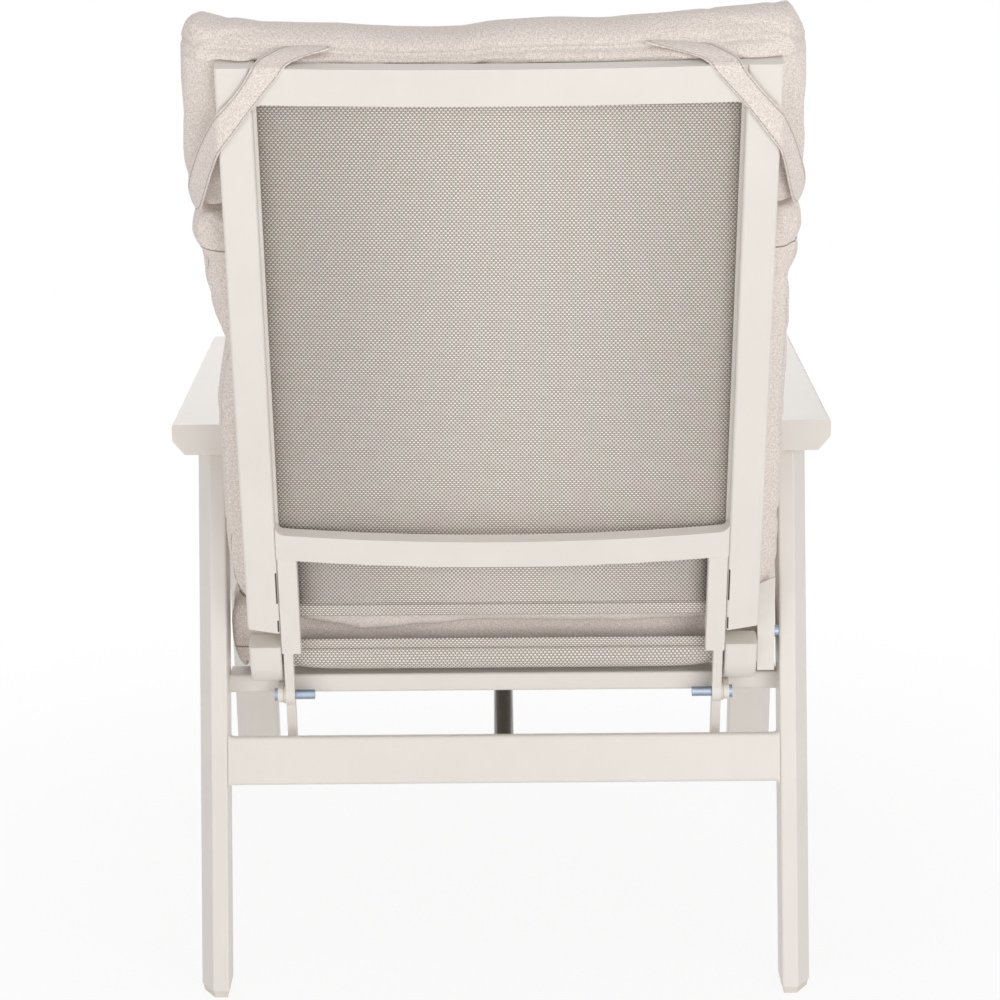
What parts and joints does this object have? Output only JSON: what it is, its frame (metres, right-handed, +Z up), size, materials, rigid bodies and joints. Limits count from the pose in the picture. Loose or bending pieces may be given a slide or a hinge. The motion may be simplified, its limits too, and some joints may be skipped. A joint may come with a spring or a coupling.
{
  "type": "reclining garden armchair",
  "caption": "Reclining garden armchair with a welded aluminium frame, sling seat and back, gas spring and a thick fabric cushion.",
  "frame": {"origin": "on the floor, at the middle of the chair's overall width and depth", "axes": "+Z up, -Y towards the front of the chair, +X towards the sitter's left"},
  "size_m": [0.7, 0.945, 1.059],
  "materials": {
    "cream_paint": "satin powder coat",
    "cushion_fabric": "heather weave",
    "sling_mesh": "coated sling mesh",
    "cream_plastic": "moulded",
    "black_gloss": "gloss paint",
    "chrome_rod": "polished",
    "zinc_steel": "bright zinc"
  },
  "bodies": {
    "frame": {"front_seat_tube": "cream_paint", "front_spring_clevis": "cream_paint", "front_spring_pin": "zinc_steel", "gas_spring_tube": "cream_paint", "left_armrest": "cream_paint", "left_front_glide": "cream_plastic", "left_front_leg": "cream_paint", "left_pivot_lug": "cream_paint", "left_rear_glide": "cream_plastic", "left_rear_leg": "cream_paint", "left_seat_rail": "cream_paint", "lever_pin": "zinc_steel", "pivot_bolts": "zinc_steel", "pivot_nuts": "zinc_steel", "rear_seat_tube": "cream_paint", "rear_stretcher": "cream_paint", "right_armrest": "cream_paint", "right_front_glide": "cream_plastic", "right_front_leg": "cream_paint", "right_pivot_lug": "cream_paint", "right_rear_glide": "cream_plastic", "right_rear_leg": "cream_paint", "right_seat_rail": "cream_paint", "seat_cushion": "cushion_fabric", "seat_rail_caps": "cream_plastic", "seat_sling": "sling_mesh"},
    "backrest": {"left_back_rail": "cream_paint", "right_back_rail": "cream_paint", "top_rail": "cream_paint", "lower_back_rail": "cream_paint", "left_bracket_tube": "cream_paint", "right_bracket_tube": "cream_paint", "left_lever_strap": "cream_paint", "right_lever_strap": "cream_paint", "pivot_bushes": "cream_plastic", "lever_cross_bar": "cream_paint", "rear_spring_clevis": "cream_paint", "rear_spring_pin": "zinc_steel", "back_sling": "sling_mesh", "back_cushion": "cushion_fabric", "head_cushion": "cushion_fabric", "left_corner_strap": "cushion_fabric", "right_corner_strap": "cushion_fabric"},
    "spring_rod": {"piston_rod": "chrome_rod", "release_head": "black_gloss"},
    "spring_cylinder": {"gas_cylinder": "black_gloss", "rod_gland": "black_gloss", "cylinder_eye": "black_gloss"},
    "lever": {"release_lever": "cream_paint"}
  },
  "joints": [
    {"name": "recline", "type": "hinge", "parent": "frame", "child": "backrest", "pos_m": [0, 0.2405, 0.31], "axis": [-1, 0, 0], "range_deg": [0, 28]},
    {"name": "spring_tilt", "type": "hinge", "parent": "frame", "child": "spring_rod", "pos_m": [0, -0.113, 0.31611], "axis": [1, 0, 0], "range_deg": [-1, 2.88]},
    {"name": "spring_stroke", "type": "slide", "parent": "spring_rod", "child": "spring_cylinder", "axis": [0, -0.9701, 0.2426], "range_m": [-0.001, 0.0382]},
    {"name": "release", "type": "hinge", "parent": "frame", "child": "lever", "pos_m": [-0.2805, 0.233, 0.375], "axis": [-1, 0, 0], "range_deg": [0, 22], "stiffness_Nm_per_rad": 0.3}
  ],
  "couplings": [
    {"joint": "spring_tilt", "follows": "recline", "ratio": 0.0672},
    {"joint": "spring_stroke", "follows": "recline", "m_per_rad": 0.07608}
  ]
}
